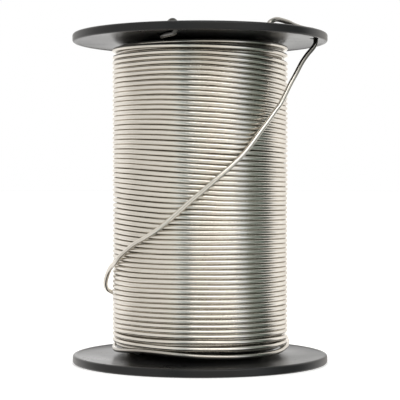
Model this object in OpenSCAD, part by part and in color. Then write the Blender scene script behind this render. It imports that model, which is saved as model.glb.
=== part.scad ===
// A small wire reel: two alike moulded flanges on a barrel, wound with level layers of solder wire.
// Millimetres. +Z runs up the reel's axis, -Y is the front, and the origin is the centre of the face
// that the reel stands on. Angles are in degrees from +X, counter-clockwise from above.

/* [Reel] */
// Outside diameter of both flanges
flange_d = 55; // [55:0.5:60]
// Clear height between the two rims
winding_h = 67.1; // [67.1:0.1:75]
// Outside diameter of the barrel
barrel_d = 25.7; // [25:0.1:25.7]
// Wall thickness of the barrel
barrel_wall = 1.6; // [1.2:0.1:2]
// Diameter of the hole for the spindle
bore_d = 11; // [8:0.5:12]

/* [Flange] */
// Thickness of the rim
rim_t = 1.8; // [1.7:0.1:2.4]
// Width of the raised bead round the rim
bead_w = 1.1; // [0.8:0.1:1.2]
// Radius of the rim's corners
rim_round = 0.5; // [0.1:0.05:0.5]
// Depth of the outer face inside the bead
outer_recess = 0.5; // [0.3:0.1:0.6]
// Depth of the inner face inside the bead
inner_recess = 0.15; // [0.05:0.05:0.2]
// Height of the low step on the inner face that the inner layers' ends lie against
seat_h = 0.75; // [0.6:0.05:0.75]
// Width of the raised ring round the bore on the outer face
hub_ring_w = 3; // [2:0.5:4]
// Wall thickness of the collar round the bore inside the barrel
collar_wall = 1.6; // [1.2:0.1:2.5]
// Length of the collar below the inner face
collar_h = 9; // [6:1:14]
// Length of the spigot that plugs into the barrel
spigot_h = 6; // [5.5:0.5:8]
// Wall thickness of the spigot
spigot_wall = 1.4; // [1.2:0.1:1.8]
// Number of ribs between the collar and the spigot
ribs = 6; // [3:1:8]
// Diameter of the tie-off holes near the rim
tie_hole_d = 2; // [1.4:0.1:2]
// Width of the groove that the wire's start lies in
start_groove_w = 1.8; // [1.4:0.1:2.2]

/* [Wire] */
// Diameter of the solder wire
wire_d = 1; // [0.8:0.1:1]
// Height that one turn takes
pitch = 1.037; // [1.037:0.001:1.1]
// Diameter of the flux core at the wire's cut ends
core_d = 0.4; // [0.2:0.05:0.5]

/* [Hidden] */
$fn = 96;

black = [0.05, 0.05, 0.055];
solder = [0.76, 0.75, 0.72];
rosin = [0.80, 0.55, 0.20];

total_h = winding_h + 2 * rim_t;
flange_r = flange_d / 2;
bead_r = flange_r - bead_w;
bead_slope = 0.25;
bore_r = bore_d / 2;
hub_ring_r = bore_r + hub_ring_w;
collar_r = bore_r + collar_wall;
// Height of the web's inner face above the flange's outer face
web_in = rim_t - inner_recess;
// The step's inner radius, and where its slope starts and ends, and the height of its face
seat_r = [13.15, 15.5, 19];
seat_in = web_in + seat_h;

barrel_r = barrel_d / 2;
barrel_bore_r = barrel_r - barrel_wall;
spigot_gap = 0.05;
spigot_r = barrel_bore_r - spigot_gap;
spigot_bore_r = spigot_r - spigot_wall;

// Rib thickness, and how far its edges run into the walls that it joins
rib_t = 1.2;
rib_h = 4;
rib_bite = 0.3;

// Two keys on the spigot stop the flange turning on the barrel
key_w = 3;
key_h = 2.5;
key_r = barrel_r - 0.5;
key_angle = 40;
key_gap = 0.1;

// Three snap beads on the spigot click into a groove in the barrel
snap_from = 3.6;
snap_h = 1;
snap_out = 0.3;
snap_span = 30;
snap_angles = [80, 200, 320];
groove_gap = 0.1;

// How far the lower flange is turned against the upper one
lower_turn = 35;

// Start groove and tie-off holes of a flange that lies with its outer face down
start_groove_angle = 115;
start_groove_r = [12.9, 19.5];
start_groove_floor = web_in - 0.3;
tie_hole_r = 25.35;
tie_hole_angles = [18.2, 57.2, 100.2];

// Each layer of wire lies in the grooves of the one under it
layers = 7;
layer_step = sqrt(pow(wire_d, 2) - pow(pitch / 2, 2));
first_layer_r = barrel_r + wire_d / 2;
layer_gap = 0.05;
// How far the outermost layer stops below the others
outer_short = 0.65;
groove_depth = 0.2;
crest_from = 0.25;
crest_to = 0.75;

// The finish end's route on the winding: radius, angle, height
tail_on_winding = [
    [19.55, 14, 4.55], [19.55, 24, 5.2], [19.55, 36, 6], [19.55, 54, 7.2], [19.55, 72, 8.5],
    [19.55, 90, 9.7], [19.55, 108, 10.9], [19.55, 126, 12.1], [19.8, 144, 13.2], [20.2, 158, 14.2],
    [20.5, 168, 15.1], [20.6, 174, 16], [20.45, 180, 17.1], [20.2, 184, 18.3], [19.8, 189, 19.8],
    [19.6, 196, 20.9], [19.55, 206, 22.1], [19.55, 213, 23.6], [19.55, 226, 26], [19.55, 235, 27.4],
    [19.55, 246, 29.6], [19.55, 255, 32.1], [19.55, 264, 34.8], [19.55, 272, 37.1],
    [19.55, 280, 39.5], [19.55, 288, 41.8], [19.55, 296, 44.2], [19.6, 302, 46.4]
];
// The same route from where it leaves the winding, up to the first tie-off hole: x, y, z
tail_in_air = [
    [12.4, -15.3, 49.2], [14, -14.3, 51.3], [15.7, -13.2, 53.7], [16.7, -12.5, 55.05], [17.8, -11.9, 57.15],
    [18.85, -11.3, 59.3], [20.05, -10.6, 61.45], [21.15, -10, 63.55], [21.85, -9.6, 64.65],
    [22.65, -9.2, 65.75], [23.6, -8.7, 66.85], [24.25, -8.2, 67.85], [24.4, -7.85, 68.6], [24.35, -7.8, 69]
];
// The same route through the first hole, over the outer face and down to the second hole, with
// heights from the outer face
tail_on_flange = [
    [24.3, -7.8, -0.8], [24.15, -8, -0.2], [23.8, -8.5, 0.1], [22.5, -10.2, 0.1], [21, -12.2, 0.2],
    [19.4, -14.2, 0.5], [17.9, -16.2, 0.9], [15.8, -19, 1.1], [14.8, -20.35, 0.8],
    [14.05, -21.1, 0.25], [13.8, -21.25, -0.35]
];
// The start end's route, out along its groove, over the inner face and up through the third hole,
// with heights from the outer face
start_route = [
    [-5.7, -12.2, -1.88], [-6.35, -13.6, -1.88], [-7.1, -15.2, -1.88], [-7.65, -16.4, -1.9],
    [-7.75, -17.5, -2.12], [-7.45, -18.9, -2.18], [-6.75, -20.8, -2.19], [-5.9, -22.7, -2.19],
    [-5.18, -24.2, -2.18], [-4.95, -24.66, -2.02], [-4.85, -24.85, -1.55], [-4.85, -24.85, -0.55],
    [-4.95, -24.75, -0.02], [-5.25, -24.5, 0.26], [-5.65, -24.1, 0.3], [-5.95, -23.5, 0.22],
    [-6.15, -22.9, 0.14]
];
// A level direction that the start end's route never runs along
start_side = [1, 0.2, 0];
tube_sides = 8;
// Distance from a tube's middle to its corners, which gives it the wire's cross-section
tube_r = wire_d / 2 * sqrt(2 * PI / (tube_sides * sin(360 / tube_sides)));
ring_gap = 2.6;

// The last stretch of a cut wire is round and holds the flux core
tip_h = 1.2;
tip_bite = 0.3;
tip_d = 0.95 * wire_d;
core_h = 0.9;

// Points on an arc about [x, y] from one angle to another
function arc(x, y, r, from, to, steps = 4) =
    [for (i = [0 : steps]) let (a = from + (to - from) * i / steps) [x + r * cos(a), y + r * sin(a)]];

function from_polar(p) = [p[0] * cos(p[1]), p[0] * sin(p[1]), p[2]];

function on_top(p) = p + [0, 0, total_h];

function unit(v) = v / norm(v);

// A point on the smooth curve from b to c, whose neighbours are a and d
function smooth(a, b, c, d, t) =
    (2 * b + (c - a) * t + (2 * a - 5 * b + 4 * c - d) * t * t + (3 * b - a - 3 * c + d) * t * t * t) / 2;

// The route's points, with more between those that are further apart than ring_gap
function smooth_route(p) = let (last = len(p) - 1) concat(
    [for (i = [0 : last - 1]) let (n = max(1, round(norm(p[i + 1] - p[i]) / ring_gap)))
        for (j = [0 : n - 1])
            smooth(p[max(i - 1, 0)], p[i], p[i + 1], p[min(i + 2, last)], j / n)],
    [p[last]]);

// The direction of a route at its point i
function heading(p, i) = unit(p[min(i + 1, len(p) - 1)] - p[max(i - 1, 0)]);

function square_to(v, along) = unit(v - (v * along) * along);

tail_rings = smooth_route(concat(
    [for (p = tail_on_winding) from_polar(p)],
    tail_in_air,
    [for (p = tail_on_flange) on_top(p)]));
start_rings = smooth_route([for (p = start_route) on_top(p)]);

// A tube along a route. side_of gives a direction that the route never runs along at a point.
module tube(route, side_of) {
    n = len(route);
    rings = [for (i = [0 : n - 1]) let (
        along = heading(route, i),
        u = square_to(side_of(route[i]), along),
        v = cross(along, u))
        for (k = [0 : tube_sides - 1]) let (a = 360 * k / tube_sides)
            route[i] + tube_r * (cos(a) * u + sin(a) * v)];
    walls = [for (i = [0 : n - 2]) for (k = [0 : tube_sides - 1]) let (
        a = i * tube_sides + k,
        b = i * tube_sides + (k + 1) % tube_sides)
        each [[a, a + tube_sides, b], [b, a + tube_sides, b + tube_sides]]];
    ends = [
        [for (k = [0 : tube_sides - 1]) k],
        [for (k = [tube_sides - 1 : -1 : 0]) (n - 1) * tube_sides + k]
    ];
    polyhedron(rings, concat(walls, ends), convexity = 10);
}

// Moves to a route's last point and turns +Z to the way that the route goes there
module at_end_of(route) {
    to = heading(route, len(route) - 1);
    translate(route[len(route) - 1])
        rotate([0, acos(to[2]), atan2(to[1], to[0])])
            children();
}

// The last stretch of a cut wire, with a blind hole for its flux core
module cut_end() {
    difference() {
        translate([0, 0, -tip_bite])
            cylinder(d = tip_d, h = tip_h + tip_bite);
        translate([0, 0, tip_h - core_h])
            cylinder(d = core_d, h = 2 * core_h);
    }
}

module core_in_cut_end() {
    translate([0, 0, tip_h - core_h])
        cylinder(d = core_d, h = core_h);
}

// The turned outline of a flange that lies with its outer face down
module flange_outline() {
    polygon(concat(
        [
            [bore_r, 0], [hub_ring_r, 0], [hub_ring_r + bead_slope, outer_recess],
            [bead_r, outer_recess], [bead_r + bead_slope, 0]
        ],
        arc(flange_r - rim_round, rim_round, rim_round, -90, 0),
        arc(flange_r - rim_round, rim_t - rim_round, rim_round, 0, 90),
        [
            [bead_r + bead_slope, rim_t], [bead_r, web_in],
            [seat_r[2], web_in], [seat_r[1], seat_in],
            [seat_r[0], seat_in], [seat_r[0], web_in],
            [spigot_r, web_in], [spigot_r, web_in + spigot_h],
            [spigot_bore_r, web_in + spigot_h], [spigot_bore_r, web_in],
            [collar_r, web_in], [collar_r, web_in + collar_h],
            [bore_r, web_in + collar_h]
        ]
    ));
}

// One snap bead, which slopes on the side that enters the barrel
module snap_bead() {
    rotate_extrude(angle = snap_span)
        polygon([
            [spigot_r - rib_bite, web_in + snap_from], [spigot_r + snap_out, web_in + snap_from],
            [spigot_r, web_in + snap_from + snap_h], [spigot_r - rib_bite, web_in + snap_from + snap_h]
        ]);
}

// The groove that the wire's start lies in, across the step and a little into the web
module start_groove() {
    w = start_groove_w;
    ends = [start_groove_r[0] + w / 2, start_groove_r[1] - w / 2];
    rotate([0, 0, start_groove_angle])
        translate([0, 0, start_groove_floor]) {
            translate([ends[0], -w / 2, 0])
                cube([ends[1] - ends[0], w, rim_t]);
            for (r = ends)
                translate([r, 0, 0])
                    cylinder(d = w, h = rim_t);
        }
}

// A flange that lies with its outer face down on z = 0
module flange() {
    color(black)
        difference() {
            union() {
                rotate_extrude()
                    flange_outline();
                for (i = [0 : ribs - 1])
                    rotate([0, 0, 360 / ribs * i])
                        translate([collar_r - rib_bite, -rib_t / 2, web_in - rib_bite])
                            cube([spigot_bore_r - collar_r + 2 * rib_bite, rib_t, rib_h + rib_bite]);
                for (side = [0, 180])
                    rotate([0, 0, key_angle + side])
                        translate([spigot_r - rib_bite, -key_w / 2, web_in - rib_bite])
                            cube([key_r - spigot_r + rib_bite, key_w, key_h + rib_bite]);
                for (a = snap_angles)
                    rotate([0, 0, a - snap_span / 2])
                        snap_bead();
            }
            start_groove();
            for (a = tie_hole_angles)
                rotate([0, 0, a])
                    translate([tie_hole_r, 0, -rim_t])
                        cylinder(d = tie_hole_d, h = 3 * rim_t);
        }
}

module lower_flange() {
    rotate([0, 0, lower_turn])
        flange();
}

module upper_flange() {
    translate([0, 0, total_h])
        rotate([180, 0, 0])
            flange();
}

// The barrel, with a snap groove inside each end and notches for the keys
module barrel() {
    low = web_in;
    high = total_h - web_in;
    groove_low = low + snap_from - groove_gap;
    groove_high = low + snap_from + snap_h + groove_gap;
    groove_r = spigot_r + snap_out + groove_gap;
    notch_r = key_r + key_gap;
    color(black)
        difference() {
            rotate_extrude()
                polygon([
                    [barrel_r, low], [barrel_r, high], [barrel_bore_r, high],
                    [barrel_bore_r, high + low - groove_low], [groove_r, high + low - groove_low],
                    [groove_r, high + low - groove_high], [barrel_bore_r, high + low - groove_high],
                    [barrel_bore_r, groove_high], [groove_r, groove_high],
                    [groove_r, groove_low], [barrel_bore_r, groove_low], [barrel_bore_r, low]
                ]);
            for (side = [0, 180])
                rotate([0, 0, key_angle + lower_turn + side])
                    translate([0, -key_w / 2 - key_gap, low - key_gap])
                        cube([notch_r, key_w + 2 * key_gap, key_h + 2 * key_gap]);
            for (side = [0, 180])
                rotate([0, 0, side - key_angle])
                    translate([0, -key_w / 2 - key_gap, high - key_h - key_gap])
                        cube([notch_r, key_w + 2 * key_gap, key_h + 2 * key_gap]);
        }
}

// One layer of the winding as a sleeve. The outermost has a groove between each two turns.
module wire_layer(layer) {
    middle_r = first_layer_r + (layer - 1) * layer_step;
    inner_r = layer == 1 ? barrel_r : middle_r - layer_step / 2;
    outer_r = layer == layers ? middle_r + wire_d / 2 : middle_r + layer_step / 2;
    low = seat_in + layer_gap;
    high = total_h - seat_in - layer_gap - (layer == layers ? outer_short : 0);
    turns = floor((high - low) / pitch);
    turn_h = (high - low) / turns;
    valley_r = outer_r - groove_depth;
    wound_side = layer < layers ? [[outer_r, low], [outer_r, high]] : concat(
        [for (i = [0 : turns - 1]) each [
            [valley_r, low + i * turn_h],
            [outer_r, low + (i + crest_from) * turn_h],
            [outer_r, low + (i + crest_to) * turn_h]
        ]],
        [[valley_r, high]]);
    color(solder)
        rotate_extrude()
            polygon(concat(wound_side, [[inner_r, high], [inner_r, low]]));
}

module wire_tail() {
    color(solder) {
        tube(tail_rings, function (p) [p[0], p[1], 0]);
        at_end_of(tail_rings)
            cut_end();
    }
}

module wire_start() {
    color(solder) {
        tube(start_rings, function (p) start_side);
        at_end_of(start_rings)
            cut_end();
    }
}

module tail_flux_core() {
    color(rosin)
        at_end_of(tail_rings)
            core_in_cut_end();
}

module start_flux_core() {
    color(rosin)
        at_end_of(start_rings)
            core_in_cut_end();
}

upper_flange();
lower_flange();
barrel();
wire_layer(1);  // wire_layer_1
wire_layer(2);  // wire_layer_2
wire_layer(3);  // wire_layer_3
wire_layer(4);  // wire_layer_4
wire_layer(5);  // wire_layer_5
wire_layer(6);  // wire_layer_6
wire_layer(7);  // wire_layer_7
wire_start();
wire_tail();
start_flux_core();
tail_flux_core();
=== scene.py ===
import math
import random

import bmesh
import bpy
import numpy as np
from mathutils import Matrix, Vector


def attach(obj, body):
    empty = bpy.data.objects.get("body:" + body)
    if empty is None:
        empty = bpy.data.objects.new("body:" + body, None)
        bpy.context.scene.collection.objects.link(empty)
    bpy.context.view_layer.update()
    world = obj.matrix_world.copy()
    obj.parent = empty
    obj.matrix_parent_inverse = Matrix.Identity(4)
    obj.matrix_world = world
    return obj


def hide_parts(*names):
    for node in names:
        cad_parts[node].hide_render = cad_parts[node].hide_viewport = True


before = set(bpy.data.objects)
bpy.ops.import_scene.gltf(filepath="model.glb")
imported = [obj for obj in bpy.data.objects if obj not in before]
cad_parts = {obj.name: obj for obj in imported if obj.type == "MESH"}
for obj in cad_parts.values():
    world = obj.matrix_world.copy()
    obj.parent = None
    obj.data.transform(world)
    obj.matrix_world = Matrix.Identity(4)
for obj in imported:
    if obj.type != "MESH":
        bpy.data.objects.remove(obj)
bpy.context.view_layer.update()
scene = bpy.context.scene
MM = 0.001

# Sizes in millimetres, in the row frame: +Z up the reel's axis, -Y the front
FLANGE_R = 27.5
RIM_T = 1.8
TOTAL_H = 70.7
BEAD_R = 26.4
BEAD_SLOPE = 0.25
RIM_ROUND = 0.5
OUTER_RECESS = 0.5
# Height of the web's inner face above the flange's outer face
WEB_IN = 1.65
# The step's inner radius, and where its slope starts and ends, and the height of its face
SEAT_R = (13.15, 15.5, 19.0)
SEAT_IN = 2.4
BORE_R = 5.5
HUB_RING_R = 8.5
COLLAR_R = 7.1
COLLAR_H = 9.0
SPIGOT_R = 11.2
SPIGOT_BORE_R = 9.8
SPIGOT_H = 6.0
BARREL_R = 12.85
BARREL_BORE_R = 11.25
LOWER_TURN = 35.0
GROOVE_ANGLE = 115.0
GROOVE_R = (12.9, 19.5)
GROOVE_W = 1.8
GROOVE_DEPTH = 0.3
TIE_HOLE_R = 25.35
TIE_HOLE_D = 2.0
TIE_HOLE_ANGLES = (18.2, 57.2, 100.2)
WIRE_R = 0.5
PITCH = 1.037
LAYERS = 7
LAYER_STEP = 0.855
LAYER_GAP = 0.05
FIRST_LAYER_R = BARREL_R + WIRE_R
OUTER_R = FIRST_LAYER_R + (LAYERS - 1) * LAYER_STEP

# Marks of moulding that only the looks have: the seam of the mould's halves, and the ejector pins
SEAM_ANGLE = 9.0
SEAM_FROM_R = 19.3
SEAM_CUT = 0.06
EJECTOR_RING_R = 18.0
EJECTOR_R = 1.6

# Creases sharper than this stay sharp on moulded parts and on wire
SHARP_MOULDED = 35.0
SHARP_WIRE = 50.0


# ---- Camera ----

CAMERA_AT = (0.0, -0.3075, 0.0378)
CAMERA_DOWN = 0.525
CAMERA_LENS = 127.8


def make_camera():
    data = bpy.data.cameras.new("camera")
    data.lens = CAMERA_LENS
    data.sensor_width = 36.0
    data.clip_start = 0.01
    data.clip_end = 200.0
    cam = bpy.data.objects.new("camera", data)
    cam.location = CAMERA_AT
    cam.rotation_euler = (math.radians(90.0 - CAMERA_DOWN), 0.0, 0.0)
    scene.collection.objects.link(cam)
    scene.camera = cam


make_camera()


# ---- Mesh helpers ----

def link(name, mesh):
    obj = bpy.data.objects.new(name, mesh)
    scene.collection.objects.link(obj)
    return obj


def mesh_object(name, points_mm, faces):
    mesh = bpy.data.meshes.new(name)
    mesh.from_pydata((np.asarray(points_mm, float) * MM).tolist(), [], faces)
    mesh.validate()
    bm = bmesh.new()
    bm.from_mesh(mesh)
    bmesh.ops.recalc_face_normals(bm, faces=bm.faces)
    bm.to_mesh(mesh)
    bm.free()
    smooth(mesh, SHARP_MOULDED)
    return link(name, mesh)


def smooth(mesh, sharp_deg):
    mesh.polygons.foreach_set("use_smooth", [True] * len(mesh.polygons))
    mesh.set_sharp_from_angle(angle=math.radians(sharp_deg))
    mesh.update()


def arc(x, y, r, start, end, steps):
    angles = np.radians(np.linspace(start, end, steps + 1))
    return [(x + r * math.cos(a), y + r * math.sin(a)) for a in angles]


def lathe(name, outline, segments):
    """A closed outline of (radius, height) points turned about the axis."""
    n = len(outline)
    angles = np.radians(360.0 * np.arange(segments) / segments)
    radius, height = np.asarray(outline, float).T
    points = np.stack([
        np.outer(np.cos(angles), radius), np.outer(np.sin(angles), radius),
        np.tile(height, (segments, 1))], axis=2).reshape(-1, 3)
    faces = []
    for i in range(segments):
        a, b = i * n, ((i + 1) % segments) * n
        for k in range(n):
            j = (k + 1) % n
            faces.append((a + k, b + k, b + j, a + j))
    return mesh_object(name, points, faces)


def prism(name, outline, z0, z1):
    """An upright solid on an outline of (x, y) points."""
    n = len(outline)
    points = [(x, y, z0) for x, y in outline] + [(x, y, z1) for x, y in outline]
    faces = [tuple(range(n)), tuple(range(n, 2 * n))]
    faces += [(k, (k + 1) % n, n + (k + 1) % n, n + k) for k in range(n)]
    return mesh_object(name, points, faces)


def turned(outline, angle):
    c, s = math.cos(math.radians(angle)), math.sin(math.radians(angle))
    return [(x * c - y * s, x * s + y * c) for x, y in outline]


def rectangle(x0, x1, y0, y1, angle):
    return turned([(x0, y0), (x1, y0), (x1, y1), (x0, y1)], angle)


def circle(x, y, r, steps=48):
    return arc(x, y, r, 0.0, 360.0 * (steps - 1) / steps, steps - 1)


def combine(obj, others, operation):
    """Adds or cuts away other solids and keeps the result as plain mesh."""
    for other in others:
        change = obj.modifiers.new("combine", "BOOLEAN")
        change.operation = operation
        change.solver = "EXACT"
        change.object = other
    graph = bpy.context.evaluated_depsgraph_get()
    mesh = bpy.data.meshes.new_from_object(obj.evaluated_get(graph))
    obj.modifiers.clear()
    obj.data = mesh
    for other in others:
        bpy.data.objects.remove(other)
    smooth(mesh, SHARP_MOULDED)


def unit(v):
    return v / np.linalg.norm(v, axis=-1, keepdims=True)


def headings(path):
    ahead = np.vstack([path[1:], path[-1:]])
    behind = np.vstack([path[:1], path[:-1]])
    return unit(ahead - behind)


def across_coil(path, along):
    """Two directions square to a winding's path, the first pointing out from the axis."""
    out = path * np.array([1.0, 1.0, 0.0])
    out = unit(out - (out * along).sum(axis=1, keepdims=True) * along)
    return out, np.cross(along, out)


def across_free(path, along):
    """Two directions square to any path, carried along it without twist."""
    u = np.cross(along[0], (0.0, 0.3, 1.0))
    u /= np.linalg.norm(u)
    us = []
    for t in along:
        u = u - t * u.dot(t)
        u = u / np.linalg.norm(u)
        us.append(u)
    us = np.array(us)
    return us, np.cross(along, us)


def wire(name, path, sides, across, radii=None, cap_end=True):
    """A round wire along a path. Its UV map runs in millimetres along it and once round it."""
    path = np.asarray(path, float)
    n = len(path)
    along = headings(path)
    u, v = across(path, along)
    radii = np.full(n, WIRE_R) if radii is None else np.asarray(radii, float)
    a = 2.0 * np.pi * np.arange(sides) / sides
    ring = (np.cos(a)[None, :, None] * u[:, None, :] + np.sin(a)[None, :, None] * v[:, None, :])
    points = (path[:, None, :] + radii[:, None, None] * ring).reshape(-1, 3) * MM
    i = np.repeat(np.arange(n - 1), sides)
    k = np.tile(np.arange(sides), n - 1)
    k2 = (k + 1) % sides
    quads = np.stack([
        i * sides + k, i * sides + k2, (i + 1) * sides + k2, (i + 1) * sides + k], axis=1)
    faces = quads.tolist()
    faces.append(list(range(sides - 1, -1, -1)))
    if cap_end:
        faces.append([(n - 1) * sides + j for j in range(sides)])
    mesh = bpy.data.meshes.new(name)
    mesh.from_pydata(points.tolist(), [], faces)
    gone = np.concatenate([[0.0], np.cumsum(np.linalg.norm(np.diff(path, axis=0), axis=1))])
    uv = mesh.uv_layers.new(name="wire").data
    side_u = np.stack([gone[i], gone[i], gone[i + 1], gone[i + 1]], axis=1)
    side_v = np.stack([k, k + 1, k + 1, k], axis=1) / sides
    flat = np.stack([side_u, side_v], axis=2).reshape(-1)
    flat = np.concatenate([flat, np.zeros(2 * len(uv) - len(flat))])
    uv.foreach_set("uv", flat)
    smooth(mesh, SHARP_WIRE)
    return link(name, mesh)


def length_of(path):
    return float(np.linalg.norm(np.diff(path, axis=0), axis=1).sum())


def curve_through(points, gap):
    """A smooth path through points, with more between those that are further apart than gap."""
    p = np.asarray(points, float)
    last = len(p) - 1
    path = []
    for i in range(last):
        a, b, c, d = p[max(i - 1, 0)], p[i], p[i + 1], p[min(i + 2, last)]
        n = max(1, round(float(np.linalg.norm(c - b)) / gap))
        for j in range(n):
            t = j / n
            path.append((2 * b + (c - a) * t + (2 * a - 5 * b + 4 * c - d) * t * t
                         + (3 * b - a - 3 * c + d) * t * t * t) / 2)
    path.append(p[last])
    return np.array(path)


# ---- Materials ----

class Tree:
    """A node tree, with short names for what is built here."""

    def __init__(self, tree):
        self.tree = tree

    def add(self, kind, inputs=(), **settings):
        node = self.tree.nodes.new(kind)
        for key, value in settings.items():
            setattr(node, key, value)
        for socket, value in dict(inputs).items():
            self.put(value, node.inputs[socket])
        return node

    def put(self, value, socket):
        if isinstance(value, bpy.types.NodeSocket):
            self.tree.links.new(value, socket)
        else:
            socket.default_value = value

    def place(self, source, scale):
        """Coordinates from a source socket, stretched by a scale on each axis."""
        return self.add("ShaderNodeMapping", {"Vector": source, "Scale": scale}).outputs["Vector"]

    def in_object(self, scale):
        coords = self.add("ShaderNodeTexCoord").outputs["Object"]
        return self.place(coords, scale)

    def noise(self, vector, scale, detail=3.0, rough=0.5):
        node = self.add("ShaderNodeTexNoise", {
            "Vector": vector, "Scale": scale, "Detail": detail, "Roughness": rough})
        return node.outputs["Fac"]

    def ramp(self, value, stops):
        """A colour that changes with a value, by stops of (value, colour or grey)."""
        node = self.add("ShaderNodeValToRGB", {"Fac": value})
        elements = node.color_ramp.elements
        while len(elements) < len(stops):
            elements.new(0.5)
        for element, (at, colour) in zip(elements, stops):
            element.position = at
            rgb = colour if isinstance(colour, tuple) else (colour,) * 3
            element.color = (*rgb, 1.0)
        return node.outputs["Color"]

    def range(self, value, low, high, start, end, **settings):
        """Low where the value is at start, high where it is at end."""
        node = self.add("ShaderNodeMapRange", {
            "Value": value, "From Min": start, "From Max": end, "To Min": low, "To Max": high},
            **settings)
        return node.outputs["Result"]

    def math(self, operation, a, b):
        return self.add("ShaderNodeMath", {0: a, 1: b}, operation=operation).outputs["Value"]

    def mix(self, factor, a, b, blend="MIX"):
        node = self.add("ShaderNodeMix", {"Factor": factor, 6: a, 7: b}, data_type="RGBA", blend_type=blend)
        return node.outputs[2]

    def split(self, vector):
        return self.add("ShaderNodeSeparateXYZ", {"Vector": vector}).outputs

    def bump(self, height, distance, strength):
        node = self.add("ShaderNodeBump", {"Height": height, "Distance": distance, "Strength": strength})
        return node.outputs["Normal"]


class Nodes(Tree):
    """A material: its node tree, and the shader that it ends in."""

    def __init__(self, name, **values):
        self.material = bpy.data.materials.new(name)
        self.material.use_nodes = True
        super().__init__(self.material.node_tree)
        self.shader = self.tree.nodes["Principled BSDF"]
        for socket, value in values.items():
            self.shader.inputs[socket.replace("_", " ")].default_value = value

    def use(self, **links):
        for socket, value in links.items():
            self.put(value, self.shader.inputs[socket.replace("_", " ")])
        return self.material


# Depth in metres of the finest relief on plastic and wire
RELIEF = 0.000012


def plastic(name, tone):
    """Black moulded plastic: a fine uneven gloss, faint flow marks, fine scratches."""
    n = Nodes(name, IOR=1.37, Specular_IOR_Level=0.5)
    flow = n.noise(n.in_object((60.0, 60.0, 60.0)), 1.0, 4.0, 0.55)
    peel = n.noise(n.in_object((1000.0, 1000.0, 1000.0)), 1.1, 2.0)
    scratch = n.noise(n.in_object((260.0, 9000.0, 900.0)), 1.0, 2.0)
    scratch_2 = n.noise(n.in_object((8000.0, 300.0, 900.0)), 1.0, 2.0)
    lines = n.math(
        "MAXIMUM", n.range(scratch, 0.0, 1.0, 0.66, 0.8), n.range(scratch_2, 0.0, 1.0, 0.68, 0.82))
    colour = n.ramp(flow, [(0.3, tuple(0.75 * t for t in tone)), (0.7, tuple(1.3 * t for t in tone))])
    rough = n.math("ADD", n.range(flow, 0.26, 0.36, 0.3, 0.7), n.math("MULTIPLY", lines, 0.22))
    height = n.math("ADD", n.math("MULTIPLY", peel, 0.6), n.math("MULTIPLY", lines, -0.5))
    normal = n.bump(height, RELIEF, 0.55)
    return n.use(Base_Color=colour, Roughness=rough, Normal=normal)


def solder(name, light, dark, painted_shade_along=None):
    """Drawn solder wire: a soft metal shine, lengthwise die lines, dull patches and small nicks.

    The last argument, where given, paints shade along the wire: the share of its brightness left by
    millimetres along.
    """
    n = Nodes(name, Metallic=1.0)
    uv = n.add("ShaderNodeUVMap", uv_map="wire").outputs["UV"]
    lines = n.noise(n.place(uv, (0.35, 14.0, 1.0)), 1.0, 3.0, 0.6)
    patch = n.noise(n.place(uv, (0.09, 1.2, 1.0)), 1.0, 4.0, 0.6)
    grain = n.noise(n.in_object((1000.0, 1000.0, 1000.0)), 5.0, 2.0)
    nick = n.add("ShaderNodeTexVoronoi", {
        "Vector": n.place(uv, (0.45, 2.6, 1.0)), "Scale": 1.0, "Randomness": 1.0}).outputs["Distance"]
    dent = n.range(nick, 1.0, 0.0, 0.04, 0.12)
    tone = n.math("ADD", n.math("MULTIPLY", patch, 0.7), n.math("MULTIPLY", lines, 0.3))
    colour = n.ramp(tone, [(0.34, dark), (0.66, light)])
    # Painted shade: darkens the wire along its length by the given shares of brightness
    if painted_shade_along:
        length = painted_shade_along[-1][0]
        gone = n.math("DIVIDE", n.split(uv)["X"], length)
        left = n.ramp(gone, [(mm / length, share) for mm, share in painted_shade_along])
        colour = n.mix(1.0, colour, left, "MULTIPLY")
    rough = n.math("ADD", n.range(patch, 0.24, 0.13, 0.3, 0.7), n.math("MULTIPLY", grain, 0.05))
    height = n.math("ADD", n.math("MULTIPLY", lines, 0.6), n.math("MULTIPLY", grain, 0.25))
    height = n.math("SUBTRACT", height, n.math("MULTIPLY", dent, 0.8))
    normal = n.bump(height, RELIEF, 0.5)
    return n.use(Base_Color=colour, Roughness=rough, Normal=normal)


def rosin(name):
    """Clear amber flux with a few paler grains."""
    n = Nodes(name, IOR=1.52, Coat_Weight=0.4, Coat_Roughness=0.08, Subsurface_Weight=0.25)
    n.shader.inputs["Subsurface Radius"].default_value = (0.0006, 0.0003, 0.0001)
    cloud = n.noise(n.in_object((1000.0, 1000.0, 1000.0)), 4.0, 3.0)
    colour = n.ramp(cloud, [(0.35, (0.45, 0.17, 0.03)), (0.7, (0.80, 0.47, 0.13))])
    rough = n.range(cloud, 0.1, 0.3, 0.3, 0.7)
    return n.use(Base_Color=colour, Roughness=rough, Normal=n.bump(cloud, 0.00003, 0.4))


BLACK = plastic("black_plastic", (0.009, 0.009, 0.0095))
# Solder's lighter and darker tones, before any painted shade
BRIGHT = (0.76, 0.725, 0.665), (0.66, 0.625, 0.565)
# Painted shade: the tail darkens where it nears the first tie-off hole and crosses the outer face, standing
# in for the dark surroundings it mirrors
SILVER_TAIL = solder("solder_tail", *BRIGHT, [
    (0.0, 1.0), (118.0, 1.0), (126.0, 0.8), (131.0, 0.42), (135.0, 0.22), (138.0, 0.13),
    (141.0, 0.2), (146.0, 0.45), (152.0, 0.5), (159.0, 0.45)])
# Painted shade: the start end is a very dark copy of the solder, for the shade it lies in by the upper
# flange
SILVER_START_SHADED = solder("solder_start_shaded", (0.10, 0.098, 0.092), (0.065, 0.063, 0.06))
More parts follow.
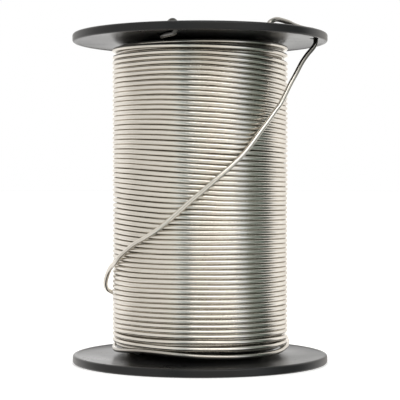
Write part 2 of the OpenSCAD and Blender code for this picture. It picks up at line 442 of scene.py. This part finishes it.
# Painted shade: the inner layers are a darker copy of the solder, for the shade deep in the winding
SILVER_UNDER_SHADED = solder("solder_under_shaded", (0.60, 0.57, 0.52), (0.48, 0.455, 0.41))
AMBER = rosin("amber_flux")


def finish_piece(obj, material, slot, *nodes):
    obj.data.materials.clear()
    obj.data.materials.append(material)
    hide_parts(*nodes)
    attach(obj, "root")
    return obj


# ---- The tail: the wire's outer end ----

# The same points as the CAD's route. On the winding: radius, angle, height
TAIL_ON_WINDING = [
    (19.55, 14, 4.55), (19.55, 24, 5.2), (19.55, 36, 6), (19.55, 54, 7.2), (19.55, 72, 8.5),
    (19.55, 90, 9.7), (19.55, 108, 10.9), (19.55, 126, 12.1), (19.8, 144, 13.2), (20.2, 158, 14.2),
    (20.5, 168, 15.1), (20.6, 174, 16), (20.45, 180, 17.1), (20.2, 184, 18.3), (19.8, 189, 19.8),
    (19.6, 196, 20.9), (19.55, 206, 22.1), (19.55, 213, 23.6), (19.55, 226, 26), (19.55, 235, 27.4),
    (19.55, 246, 29.6), (19.55, 255, 32.1), (19.55, 264, 34.8), (19.55, 272, 37.1),
    (19.55, 280, 39.5), (19.55, 288, 41.8), (19.55, 296, 44.2), (19.6, 302, 46.4)
]
# In the air up to the first tie-off hole: x, y, z
TAIL_IN_AIR = [
    (12.4, -15.3, 49.2), (14, -14.3, 51.3), (15.7, -13.2, 53.7), (16.7, -12.5, 55.05),
    (17.8, -11.9, 57.15), (18.85, -11.3, 59.3), (20.05, -10.6, 61.45), (21.15, -10, 63.55),
    (21.85, -9.6, 64.65),
    (22.65, -9.2, 65.75), (23.6, -8.7, 66.85), (24.25, -8.2, 67.85), (24.4, -7.85, 68.6), (24.35, -7.8, 69)
]
# Through the hole, over the outer face and into the second hole: x, y, height above the face
TAIL_ON_FLANGE = [
    (24.3, -7.8, -0.8), (24.15, -8, -0.2), (23.8, -8.5, 0.1), (22.5, -10.2, 0.1), (21, -12.2, 0.2),
    (19.4, -14.2, 0.5), (17.9, -16.2, 0.9), (15.8, -19, 1.1), (14.8, -20.35, 0.8),
    (14.05, -21.1, 0.25), (13.8, -21.25, -0.35)
]
# The start end, out along its groove and up through the third hole: x, y, height above the face
START_ROUTE = [
    (-5.7, -12.2, -1.88), (-6.35, -13.6, -1.88), (-7.1, -15.2, -1.88), (-7.65, -16.4, -1.9),
    (-7.75, -17.5, -2.12), (-7.45, -18.9, -2.18), (-6.75, -20.8, -2.19), (-5.9, -22.7, -2.19),
    (-5.18, -24.2, -2.18), (-4.95, -24.66, -2.02), (-4.85, -24.85, -1.55), (-4.85, -24.85, -0.55),
    (-4.95, -24.75, -0.02), (-5.25, -24.5, 0.26), (-5.65, -24.1, 0.3), (-5.95, -23.5, 0.22),
    (-6.15, -22.9, 0.14)
]
# The cut end: its length past the route, the flux core in it, and the radii where it narrows
TIP_H = 1.2
CORE_R = 0.2
CUT_SIDES = 20
CUT_RADII = (0.485, 0.44)
# Rings from the cut edge into the core's hole: radius, and depth behind the cut face
CUT_RINGS = ((0.40, -0.03), (CORE_R + 0.02, -0.02), (CORE_R, 0.03), (CORE_R, 0.7))
# The core's rings from its root to its domed tip: radius, and depth behind the cut face
CORE_RINGS = ((0.192, 0.68), (0.192, 0.4), (0.192, 0.12), (0.17, 0.06), (0.11, 0.03), (0.03, 0.015))


def from_polar(r, angle, z):
    a = math.radians(angle)
    return (r * math.cos(a), r * math.sin(a), z)


def on_top(points):
    return [(x, y, z + TOTAL_H) for x, y, z in points]


def with_tip(path):
    """The path and its last stretch, as far as the cut face."""
    ahead = headings(path)[-1]
    steps = np.linspace(0.0, TIP_H, 5)[1:]
    return np.vstack([path, path[-1] + steps[:, None] * ahead])


def cut_wire(name, core_name, path, material, nodes, core_nodes):
    """A wire whose end was cut across: a narrowed last millimetre, and the flux core in its face."""
    full = with_tip(path)
    radii = np.full(len(full), WIRE_R)
    radii[-2:] = CUT_RADII
    obj = wire(name, full, CUT_SIDES, across_free, radii, cap_end=False)
    add_hollow_face(obj, full)
    finish_piece(obj, material, "solder", *nodes)
    core = core_piece(core_name, full)
    finish_piece(core, AMBER, "flux", *core_nodes)
    return obj, core, full


def add_hollow_face(obj, path):
    """Closes a wire's end with a ring that has a blind hole for the core."""
    bm = bmesh.new()
    bm.from_mesh(obj.data)
    bm.verts.ensure_lookup_table()
    edge = [bm.verts[(len(path) - 1) * CUT_SIDES + k] for k in range(CUT_SIDES)]
    ahead = headings(path)[-1]
    end = path[-1]
    rims = [edge]
    for r, back in CUT_RINGS:
        middle = (end - back * ahead) * MM
        ring = []
        for v in edge:
            out = np.array(v.co) - end * MM
            out = out / np.linalg.norm(out)
            ring.append(bm.verts.new(middle + out * r * MM))
        rims.append(ring)
    for a, b in zip(rims, rims[1:]):
        for k in range(CUT_SIDES):
            j = (k + 1) % CUT_SIDES
            bm.faces.new((a[k], a[j], b[j], b[k]))
    bm.faces.new(rims[-1])
    bmesh.ops.recalc_face_normals(bm, faces=bm.faces)
    bm.to_mesh(obj.data)
    bm.free()
    smooth(obj.data, SHARP_WIRE)


def core_piece(name, path):
    """The flux core: a short rod with a domed, slightly sunken face."""
    ahead = headings(path)[-1]
    points = np.array([path[-1] - back * ahead for _, back in CORE_RINGS])
    return wire(name, points, 16, across_free, [r for r, _ in CORE_RINGS])


tail_path = curve_through(
    [from_polar(*p) for p in TAIL_ON_WINDING] + TAIL_IN_AIR + on_top(TAIL_ON_FLANGE), 0.45)
tail, tail_core, tail_line = cut_wire(
    "tail_wire", "tail_flux", tail_path, SILVER_TAIL, ["wire_tail"], ["tail_flux_core"])

start_path = curve_through(on_top(START_ROUTE), 0.35)
start, start_core, start_line = cut_wire(
    "start_wire", "start_flux", start_path, SILVER_START_SHADED, ["wire_start"], ["start_flux_core"])


# ---- The winding ----

# How far the outer layer's turns stand from an even helix: columns by degrees round from the front,
# positive to the right, and a row for each height. These values weren't chosen by hand: a program
# fitted them to the photo, which is a fault.
DRIFT_ROUND = [-73, -50, -25, 3, 12, 27, 73]
DRIFT = [
    (6.4, (-0.55, -0.45, -0.49, -0.5, -0.49, -0.42, -0.28)),
    (9, (-0.56, -0.49, -0.49, -0.51, -0.5, -0.44, -0.48)),
    (14, (-0.68, -0.64, -0.56, -0.59, -0.57, -0.51, -0.43)),
    (19, (-0.68, -0.79, -0.74, -0.69, -0.71, -0.65, -0.53)),
    (24, (-0.49, -0.77, -0.92, -0.87, -0.8, -0.72, -0.76)),
    (30, (-0.16, -0.51, -1.02, -1.07, -1.04, -0.99, -1)),
    (36, (0.21, -0.22, -0.71, -1.05, -1.24, -1.26, -1.19)),
    (42, (0.23, 0.03, -0.51, -1.05, -1.23, -1.37, -1.43)),
    (48, (0.01, -0.03, -0.33, -0.79, -0.91, -1.14, -1.53)),
    (54, (-0.21, -0.21, -0.25, -0.7, -0.8, -1.08, -1.67)),
    (60, (-0.45, -0.44, -0.33, -0.52, -0.68, -0.98, -1.67)),
    (64, (-0.54, -0.51, -0.34, -0.41, -0.58, -0.89, -1.48)),
    (66, (-0.49, -0.46, -0.35, -0.39, -0.51, -0.67, -1.3)),
    (66.85, (-0.01, -0.07, -0.15, -0.2, -0.23, -0.29, -0.48)),
    (67.6, (0.09, 0.07, 0.03, 0, 0, 0, 0))
]

# The wire steps up from the sixth layer to the outer one under the upper flange, at the right
STEP_UP_ANGLE = 325.0
STEP_UP_Z = 67.75
OUTER_FROM_Z = 67.62
# How far above the lower flange's step each layer starts
LAYER_RAISED = [0.0, 0.0, 0.0, 0.0, 0.6, 0.6, 0.0]
# The outer layer's turns from this height down are laid one by one, the last ones further apart.
# Each is angle, height, and the angle goes on growing from turn to turn. They were listed from the
# turns' places in the photo.
LAST_TURNS_FROM = 7.0
LAST_TURNS = [
    (190, 6.38), (197, 6.33), (212, 6.2), (228, 6.1), (244, 6.05), (270, 6.08), (289, 5.97),
    (326, 5.87), (340, 5.8), (360, 5.6), (450, 5.4), (520, 5.3), (546, 5.2), (560, 5.15),
    (576, 5.06), (591, 4.97), (604, 4.82), (620, 4.69), (630, 4.66), (651, 4.57), (665, 4.6),
    (684, 4.55), (700, 4.7), (715, 4.66), (760, 4.55), (810, 4.45), (860, 4.35), (885, 4.1),
    (896, 3.6), (906, 3.1), (918, 3.15), (936, 3.6), (951, 3.9), (964, 3.8), (977, 3.5),
    (990, 3.2), (1011, 2.98), (1017, 2.97), (1036, 3.0), (1044, 3.02), (1056, 3.15)
]
# Then up and out over the outer layer to the tail: angle, height, radius
LAST_CLIMB = [
    (1064, 3.4, 18.5), (1070, 3.5, 18.55), (1078, 3.65, 18.7), (1085, 3.9, 19.05), (1090, 4.2, 19.35)
]
LAST_ANGLE = 1094.0
# How often in a turn the winding's unevenness changes, and how many segments a turn is made of
KNOTS_IN_TURN = 6
SEEN_SEGMENTS = 96
HIDDEN_SEGMENTS = 64


def uneven(rng, turns, knots, spread, keep):
    """Small offsets along a winding that change slowly from turn to turn, one for each knot."""
    offsets = np.zeros((turns + 2) * knots)
    for k in range(len(offsets)):
        above = offsets[k - knots] if k >= knots else 0.0
        beside = offsets[k - 1] if k else 0.0
        gap = rng.choice((-0.6, -0.4, -0.3, 0.1, 0.2, 1.0)) * spread
        offsets[k] = 0.35 * beside + 0.6 * keep * above + 0.35 * gap
    return offsets


def drift(angle, z):
    """How far points of the outer layer stand from an even helix."""
    round_from_front = (angle - 90.0) % 360.0 - 180.0
    heights = [height for height, _ in DRIFT]
    rows = np.array([np.interp(round_from_front, DRIFT_ROUND, row, period=360.0) for _, row in DRIFT])
    at = np.interp(z, heights, np.arange(len(heights)))
    below = np.minimum(at.astype(int), len(heights) - 2)
    part = at - below
    each = np.arange(len(z))
    return rows[below, each] * (1.0 - part) + rows[below + 1, each] * part


def laid_by_hand(knots, start, end):
    """Points through knots of (angle, height, radius), from one angle to another, without sharp corners."""
    knots = np.array(knots)
    angle = np.arange(start - 6.0, end + 6.01, 1.0)
    weight = np.hanning(15)[1:-1]
    weight /= weight.sum()
    height = np.convolve(np.interp(angle, knots[:, 0], knots[:, 1]), weight, "valid")
    radius = np.convolve(np.interp(angle, knots[:, 0], knots[:, 2]), weight, "valid")
    return [from_polar(r, a, z) for r, a, z in zip(radius, angle[6:-6], height)][::3]


def layer_path(layer, rng, segments):
    """The path of one layer of the winding, and the angle at each of its points."""
    radius = FIRST_LAYER_R + (layer - 1) * LAYER_STEP
    low = SEAT_IN + LAYER_GAP + WIRE_R + LAYER_RAISED[layer - 1]
    high = TOTAL_H - SEAT_IN - LAYER_GAP - WIRE_R
    if layer == LAYERS - 1:
        high = STEP_UP_Z
    if layer == LAYERS:
        low, high = LAST_TURNS_FROM, OUTER_FROM_Z
    turns = (high - low) / PITCH
    offsets = uneven(rng, math.ceil(turns), KNOTS_IN_TURN, spread=0.11, keep=0.9)
    n = math.ceil(turns * segments)
    gone = turns * np.arange(n + 1) / n
    falls = layer % 2 == 1
    z = high - PITCH * gone if falls else low + PITCH * gone
    z = z + np.interp(gone * KNOTS_IN_TURN, np.arange(len(offsets)), offsets)
    if layer == LAYERS:
        angle = 360.0 * gone
        z = np.clip(z + drift(angle, z), 0.0, high + 0.1)
    else:
        first = STEP_UP_ANGLE - 360.0 * turns if layer == LAYERS - 1 else 253.0 + 40.0 * layer
        angle = first + 360.0 * gone
        z = np.clip(z, low, high)
    a = np.radians(angle)
    return np.stack([radius * np.cos(a), radius * np.sin(a), z], axis=1), angle


rng = random.Random(7)
for layer in range(1, LAYERS):
    glimpsed = layer == LAYERS - 1
    path, _ = layer_path(layer, rng, SEEN_SEGMENTS if glimpsed else HIDDEN_SEGMENTS)
    turns_of_layer = wire("wire_turns_%d" % layer, path, 10 if glimpsed else 8, across_coil)
    finish_piece(turns_of_layer, SILVER_UNDER_SHADED, "solder", "wire_layer_%d" % layer)

step_up = curve_through([
    from_polar(OUTER_R - LAYER_STEP, STEP_UP_ANGLE, STEP_UP_Z), from_polar(17.75, 335.0, 67.76),
    from_polar(18.15, 346.0, 67.74), from_polar(18.42, 355.0, 67.66)], 1.2)
even_turns, even_angle = layer_path(LAYERS, rng, SEEN_SEGMENTS)
whole_turns = 360.0 * math.floor(even_angle[-1] / 360.0)
joint = even_angle[-1] - whole_turns
# The even turns' last quarter leads into the ones that are laid one by one
knots = [(a - whole_turns, p[2], OUTER_R) for a, p in zip(even_angle[-25::4], even_turns[-25::4])]
knots += [(a, z, OUTER_R) for a, z in LAST_TURNS if a > joint + 12.0] + LAST_CLIMB
knots += [(a + LAST_ANGLE - TAIL_ON_WINDING[0][1], z, r) for r, a, z in TAIL_ON_WINDING[:3]]
last_turns = laid_by_hand(knots, joint, LAST_ANGLE)
outer_path = np.vstack([step_up, even_turns[:-1], last_turns[:-1], tail_line[:1]])
outer = wire("wire_turns_%d" % LAYERS, outer_path, 14, across_coil)
end_mm = length_of(outer_path)
# Painted shade: the last turn, low on the winding, is darker than the rest, standing in for the dark flange
# it mirrors
SILVER_OUTER = solder("solder_outer", *BRIGHT, [
    (0.0, 1.0), (end_mm - 95.0, 1.0), (end_mm - 70.0, 0.6), (end_mm - 8.0, 0.6), (end_mm, 1.0)])
finish_piece(outer, SILVER_OUTER, "solder", "wire_layer_%d" % LAYERS)


# ---- Flanges and barrel ----

# Small edge rounds that only the looks have: the hub ring's, the bead's outside and its inside
HUB_ROUND = 0.12
BEAD_ROUND = 0.1
BEAD_INNER_ROUND = 0.08
# The slopes at the ends of the spigot and of the barrel
SPIGOT_CHAMFER = 0.3
BARREL_CHAMFER = 0.2


def flange_outline():
    """The turned outline of a flange that lies with its outer face down."""
    outline = [(BORE_R, HUB_ROUND)] + arc(BORE_R + HUB_ROUND, HUB_ROUND, HUB_ROUND, 180, 270, 3)[1:]
    outline += arc(HUB_RING_R - HUB_ROUND, HUB_ROUND, HUB_ROUND, 270, 330, 3)
    outline += [(HUB_RING_R + BEAD_SLOPE, OUTER_RECESS), (BEAD_R, OUTER_RECESS)]
    outline += arc(BEAD_R + BEAD_SLOPE + BEAD_ROUND, BEAD_ROUND, BEAD_ROUND, 210, 270, 3)
    outline += arc(FLANGE_R - RIM_ROUND, RIM_ROUND, RIM_ROUND, -90, 0, 8)
    outline += arc(FLANGE_R - RIM_ROUND, RIM_T - RIM_ROUND, RIM_ROUND, 0, 90, 8)
    outline += arc(BEAD_R + BEAD_SLOPE, RIM_T - BEAD_INNER_ROUND, BEAD_INNER_ROUND, 90, 150, 3)
    outline += [(BEAD_R, WEB_IN), (SEAT_R[2], WEB_IN), (SEAT_R[1], SEAT_IN)]
    outline += [(SEAT_R[0], SEAT_IN), (SEAT_R[0], WEB_IN)]
    outline += [(SPIGOT_R, WEB_IN), (SPIGOT_R, WEB_IN + SPIGOT_H - SPIGOT_CHAMFER)]
    outline += [(SPIGOT_R - SPIGOT_CHAMFER, WEB_IN + SPIGOT_H)]
    outline += [(SPIGOT_BORE_R, WEB_IN + SPIGOT_H), (SPIGOT_BORE_R, WEB_IN)]
    outline += [(COLLAR_R, WEB_IN), (COLLAR_R, WEB_IN + COLLAR_H), (BORE_R, WEB_IN + COLLAR_H)]
    return outline


def start_groove():
    half = GROOVE_W / 2
    outline = arc(GROOVE_R[1] - half, 0, half, -90, 90, 24) + arc(GROOVE_R[0] + half, 0, half, 90, 270, 24)
    return prism("start_groove", turned(outline, GROOVE_ANGLE), WEB_IN - GROOVE_DEPTH, 2 * SEAT_IN)


def tie_hole(angle):
    x, y, _ = from_polar(TIE_HOLE_R, angle, 0.0)
    return prism("tie_hole", circle(x, y, TIE_HOLE_D / 2), -RIM_T, 2 * RIM_T)


def seam(angle):
    """A cut for the fine line where the mould's halves met, across the inner face to the rim."""
    outline = rectangle(SEAM_FROM_R, FLANGE_R + 0.5, -SEAM_CUT, SEAM_CUT, angle)
    return prism("seam", outline, WEB_IN - SEAM_CUT, 2 * RIM_T)


def ejector_mark(angle):
    x, y, _ = from_polar(EJECTOR_RING_R, angle, 0.0)
    return prism("ejector_mark", circle(x, y, EJECTOR_R, 40), -RIM_T, OUTER_RECESS + 0.06)


def gate_mark():
    """The broken-off stub where the plastic ran into the mould: a low round bump on the outer face."""
    face = OUTER_RECESS
    obj = lathe("gate_mark", [
        (0.01, face + 0.3), (0.8, face + 0.3), (0.8, face - 0.05), (0.62, face - 0.16),
        (0.01, face - 0.12)], 32)
    obj.data.transform(shift(*from_polar(12.0, 200.0, 0.0)))
    return obj


def flange(name, to_row, node):
    """One moulded flange, made lying on its outer face and then put in place."""
    obj = lathe(name, flange_outline(), 288)
    cutters = [start_groove()]
    cutters += [tie_hole(a) for a in TIE_HOLE_ANGLES]
    cutters += [seam(a) for a in (SEAM_ANGLE, SEAM_ANGLE + 180.0)]
    cutters += [ejector_mark(a) for a in range(15, 375, 60)]
    combine(obj, cutters, "DIFFERENCE")
    combine(obj, [gate_mark()], "UNION")
    obj.data.transform(to_row)
    return finish_piece(obj, BLACK, "reel_plastic", node)


def shift(x, y, z):
    return Matrix.Translation((x * MM, y * MM, z * MM))


def turn(angle, axis):
    return Matrix.Rotation(math.radians(angle), 4, axis)


flange("lower_flange_skin", turn(LOWER_TURN, "Z"), "lower_flange")
flange("upper_flange_skin", shift(0.0, 0.0, TOTAL_H) @ turn(180.0, "X"), "upper_flange")

barrel = lathe("barrel_skin", [
    (BARREL_R, WEB_IN), (BARREL_R, TOTAL_H - WEB_IN),
    (BARREL_BORE_R + BARREL_CHAMFER, TOTAL_H - WEB_IN), (BARREL_BORE_R, TOTAL_H - WEB_IN - BARREL_CHAMFER),
    (BARREL_BORE_R, WEB_IN + BARREL_CHAMFER), (BARREL_BORE_R + BARREL_CHAMFER, WEB_IN)], 160)
finish_piece(barrel, BLACK, "reel_plastic", "barrel")


# ---- Floor, studio light ----

FLOOR_HALF = 9000


def floor():
    corners = rectangle(-FLOOR_HALF, FLOOR_HALF, -FLOOR_HALF, FLOOR_HALF, 0.0)
    obj = mesh_object("floor", [(x, y, 0) for x, y in corners], [(0, 1, 2, 3)])
    n = Nodes("pale_floor", Roughness=0.6, Specular_IOR_Level=0.2)
    cloud = n.noise(n.in_object((3.0, 3.0, 3.0)), 1.0, 3.0)
    tone = n.ramp(cloud, [(0.3, (0.93, 0.93, 0.93)), (0.7, (0.96, 0.96, 0.96))])
    obj.data.materials.append(n.use(Base_Color=tone, Emission_Color=tone, Emission_Strength=0.35))
    obj.visible_glossy = False


def studio():
    """White all round, with the studio's two dark stands and its own dimmer side as a smooth sky."""
    world = bpy.data.worlds.new("studio")
    world.use_nodes = True
    scene.world = world
    t = Tree(world.node_tree)
    around = t.tree.nodes["Background"]
    axes = t.split(t.add("ShaderNodeTexCoord").outputs["Generated"])
    # Degrees round from the front, positive to the right
    degrees = t.math("DEGREES", t.math("ARCTAN2", axes["X"], t.math("MULTIPLY", axes["Y"], -1.0)), 0.0)
    place = t.math("ADD", t.math("DIVIDE", degrees, 360.0), 0.5)
    level, high = [t.ramp(place, [(at / 360.0 + 0.5, colour) for at, colour in stops])
                   for stops in (AROUND, ABOVE)]
    overhead = t.range(axes["Z"], 0.0, 1.0, 0.66, 0.9, interpolation_type="SMOOTHSTEP")
    t.put(t.mix(overhead, level, high), around.inputs["Color"])
    around.inputs["Strength"].default_value = 1.0
    # The camera itself sees plain white
    white = t.add("ShaderNodeBackground", {"Color": (1.0, 1.0, 1.0, 1.0), "Strength": 1.0})
    seen = t.add("ShaderNodeLightPath").outputs["Is Camera Ray"]
    both = t.add("ShaderNodeMixShader", {0: seen, 1: around.outputs[0], 2: white.outputs[0]})
    t.put(both.outputs[0], t.tree.nodes["World Output"].inputs["Surface"])


# What the wire mirrors, by degrees round from the front, positive to the right. These colours weren't
# chosen by hand: a program fitted them to the photo, which is a fault.
AROUND = [
    (-180, (1.52, 1.50, 1.49)), (-168, (1.47, 1.46, 1.44)), (-158, (0.97, 0.94, 0.91)),
    (-130, (1.18, 1.16, 1.14)), (-100, (0.81, 0.79, 0.76)), (-76, (0.89, 0.88, 0.85)),
    (-51, (0.93, 0.91, 0.88)), (-40, (0.95, 0.95, 0.89)), (-31, (0.99, 1.02, 1.02)),
    (-25, (0.54, 0.61, 0.61)), (-18, (0.38, 0.43, 0.44)), (-12, (0.70, 0.72, 0.71)),
    (0, (0.77, 0.76, 0.69)), (12, (0.79, 0.76, 0.70)),
    (25, (0.93, 0.89, 0.83)), (38, (1.04, 1.03, 0.98)), (47, (1.03, 1.01, 0.99)), (60, (0.97, 1.04, 1.11)),
    (67, (0.44, 0.48, 0.47)), (75, (0.250, 0.270, 0.240)), (86, (0.226, 0.279, 0.254)),
    (96, (0.071, 0.091, 0.083)), (103, (0.094, 0.105, 0.097)), (111, (0.67, 0.67, 0.66)),
    (118, (1.15, 1.13, 1.11)), (135, (1.20, 1.18, 1.14)), (158, (0.88, 0.83, 0.78)),
    (168, (1.37, 1.36, 1.33)), (180, (1.41, 1.40, 1.37))
]
# And the same high above
ABOVE = [
    (-180, (1.0, 1.0, 1.0)), (-60, (0.9, 0.9, 0.9)), (-30, (1.0, 1.0, 1.0)), (-10, (1.4, 1.4, 1.4)),
    (42, (1.4, 1.4, 1.4)), (60, (0.6, 0.61, 0.59)), (95, (0.55, 0.56, 0.54)), (115, (1.1, 1.1, 1.1)),
    (180, (1.0, 1.0, 1.0))
]


LAMP_AIM = (0.0, 0.0, 0.035)


def lamp(name, place, size, power):
    data = bpy.data.lights.new(name, "AREA")
    data.shape = "RECTANGLE"
    data.size, data.size_y = size
    data.energy = power
    obj = bpy.data.objects.new(name, data)
    obj.location = place
    scene.collection.objects.link(obj)
    to_aim = Vector(LAMP_AIM) - Vector(place)
    obj.rotation_euler = to_aim.to_track_quat("-Z", "Y").to_euler()


floor()
studio()
lamp("front_softbox", (0.27, -0.70, 0.70), (1.02, 0.22), 2.4)

scene.view_settings.view_transform = "Standard"
scene.view_settings.look = "None"
